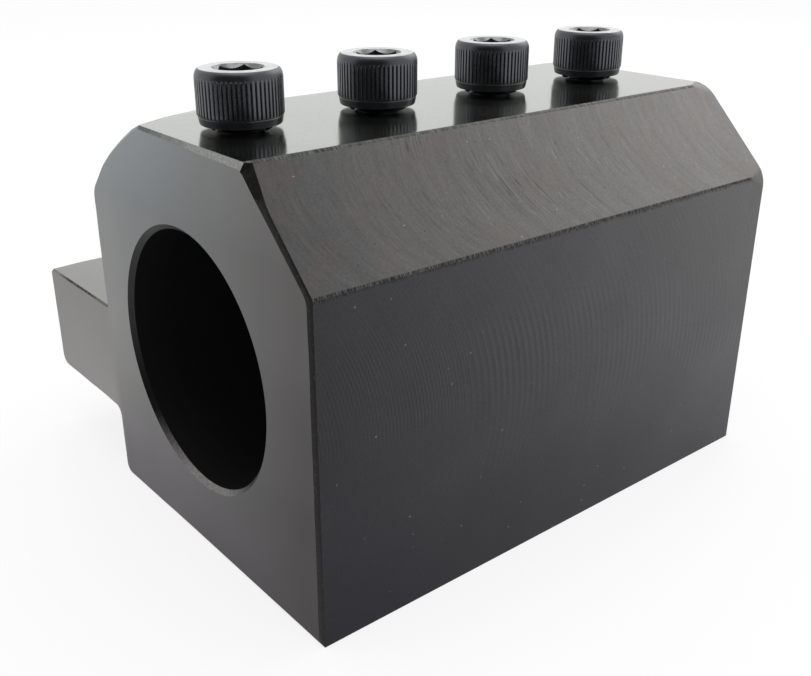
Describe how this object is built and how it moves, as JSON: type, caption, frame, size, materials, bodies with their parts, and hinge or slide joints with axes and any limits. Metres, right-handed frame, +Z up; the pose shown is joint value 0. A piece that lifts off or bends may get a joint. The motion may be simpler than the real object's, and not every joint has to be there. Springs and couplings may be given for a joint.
{
  "type": "axial tool holder",
  "caption": "Chamfered steel holder block with a through bore for a round tool bar, a side tongue for clamping in a tool slot, and a row of socket-head clamp screws on top.",
  "frame": {"origin": "on the axis of the bar's bore, half way along the block; the tongue's top lies in the same level plane", "axes": "-Y out of the bore's front mouth, +Z up towards the clamp screws, -X out along the tongue"},
  "size_m": [0.1125, 0.124, 0.0958],
  "materials": {
    "burnished_steel": "milled and blackened tool steel, satin, with feed marks",
    "black_oxide_steel": "black oxide on knurled socket-head screws, satin"
  },
  "bodies": {
    "holder": {"tool_block": "burnished_steel"},
    "screw_1": {"clamp_screw_1": "black_oxide_steel"},
    "screw_2": {"clamp_screw_2": "black_oxide_steel"},
    "screw_3": {"clamp_screw_3": "black_oxide_steel"},
    "screw_4": {"clamp_screw_4": "black_oxide_steel"}
  },
  "joints": [
    {"name": "screw_1_travel", "type": "slide", "parent": "holder", "child": "screw_1", "axis": [0, 0, 1], "range_m": [-0.0008, 0.0172]},
    {"name": "screw_2_travel", "type": "slide", "parent": "holder", "child": "screw_2", "axis": [0, 0, 1], "range_m": [-0.0008, 0.0172]},
    {"name": "screw_3_travel", "type": "slide", "parent": "holder", "child": "screw_3", "axis": [0, 0, 1], "range_m": [-0.0008, 0.0172]},
    {"name": "screw_4_travel", "type": "slide", "parent": "holder", "child": "screw_4", "axis": [0, 0, 1], "range_m": [-0.0008, 0.0172]}
  ]
}
